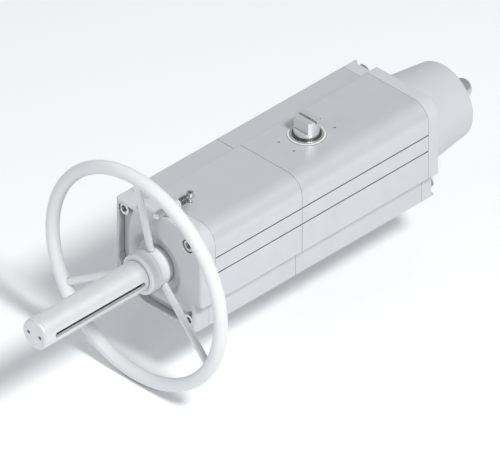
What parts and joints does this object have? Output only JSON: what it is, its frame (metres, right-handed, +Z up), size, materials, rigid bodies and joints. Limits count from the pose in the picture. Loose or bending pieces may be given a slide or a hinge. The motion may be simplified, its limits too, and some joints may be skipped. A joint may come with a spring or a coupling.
{
  "type": "pneumatic quarter-turn actuator",
  "caption": "Spring-return rack-and-pinion pneumatic actuator that turns a valve a quarter turn, with a spoked handwheel jackscrew override and a wheel lock pin.",
  "frame": {"origin": "on the output shaft's axis, in the plane of the valve flange under the body", "axes": "+Z up along the output shaft, +X along the cylinder from the handwheel towards the spring can, +Y towards the side with the air ports"},
  "size_m": [0.8513, 0.35, 0.35],
  "materials": {
    "extrusion": "satin anodised",
    "casting": "satin powder coat",
    "wheel_paint": "satin paint",
    "steel": "turned",
    "dark_steel": "phosphated",
    "stainless": "bright",
    "spring_steel": "shot-peened",
    "bronze": "machined",
    "nylon": "moulded",
    "seal_rubber": "moulded",
    "piston_metal": "machined"
  },
  "bodies": {
    "housing": {"body_front": "extrusion", "body_rear": "extrusion", "port_inserts": "stainless", "seam_seal": "seal_rubber", "front_cap": "casting", "front_cap_seal": "seal_rubber", "rear_cap": "casting", "can_seal": "seal_rubber", "tie_bolts": "stainless", "rear_bolts": "stainless", "spring_can": "casting", "spring_seat": "dark_steel", "stop_screw": "stainless", "stop_nut": "stainless", "stop_dome": "stainless", "upper_bush": "nylon", "lower_bearing": "nylon", "bearing_clip": "dark_steel", "sleeve_bush": "bronze", "sleeve_seal": "seal_rubber", "thrust_bearing": "steel", "spindle_guide": "dark_steel", "guide_screws": "stainless", "guide_key": "dark_steel", "rod_seal": "seal_rubber", "return_spring": "spring_steel", "lock_spring": "spring_steel"},
    "carriage": {"front_piston": "piston_metal", "rear_piston": "piston_metal", "rack": "dark_steel", "rack_pad": "nylon", "carriage_screws": "stainless", "piston_seals": "seal_rubber", "guide_rings": "nylon"},
    "output_shaft": {"pinion_shaft": "steel", "shaft_washer": "stainless", "shaft_clip": "dark_steel", "shaft_seals": "seal_rubber"},
    "handwheel": {"drive_sleeve": "bronze", "hub": "wheel_paint", "hub_key": "steel", "hub_collar": "wheel_paint", "handwheel_rim": "wheel_paint", "spokes": "wheel_paint", "protective_tube": "steel", "tube_plug": "steel"},
    "spindle": {"spindle": "steel", "spindle_nose": "dark_steel"},
    "wheel_lock": {"lock_pin": "stainless", "lock_screw": "stainless"}
  },
  "joints": [
    {"name": "handwheel_turn", "type": "hinge", "parent": "housing", "child": "handwheel", "pos_m": [-0.279, 0.0175, 0.078], "axis": [1, 0, 0], "range_deg": [0, 4071.5]},
    {"name": "spindle_travel", "type": "slide", "parent": "housing", "child": "spindle", "axis": [1, 0, 0], "range_m": [0, 0.05655]},
    {"name": "piston_travel", "type": "slide", "parent": "housing", "child": "carriage", "axis": [1, 0, 0], "range_m": [0, 0.05655], "deforming": ["return_spring"]},
    {"name": "shaft_turn", "type": "hinge", "parent": "housing", "child": "output_shaft", "pos_m": [0, 0, 0], "axis": [0, 0, 1], "range_deg": [-90, 0]},
    {"name": "lock_pin_push", "type": "slide", "parent": "housing", "child": "wheel_lock", "axis": [-1, 0, 0], "range_m": [0, 0.009], "stiffness_N_per_m": 300, "springref_m": -0.004, "deforming": ["lock_spring"]}
  ],
  "couplings": [
    {"joint": "spindle_travel", "follows": "handwheel_turn", "m_per_rad": 0.00079577},
    {"joint": "piston_travel", "follows": "handwheel_turn", "m_per_rad": 0.00079577},
    {"joint": "shaft_turn", "follows": "handwheel_turn", "ratio": -0.022105}
  ]
}
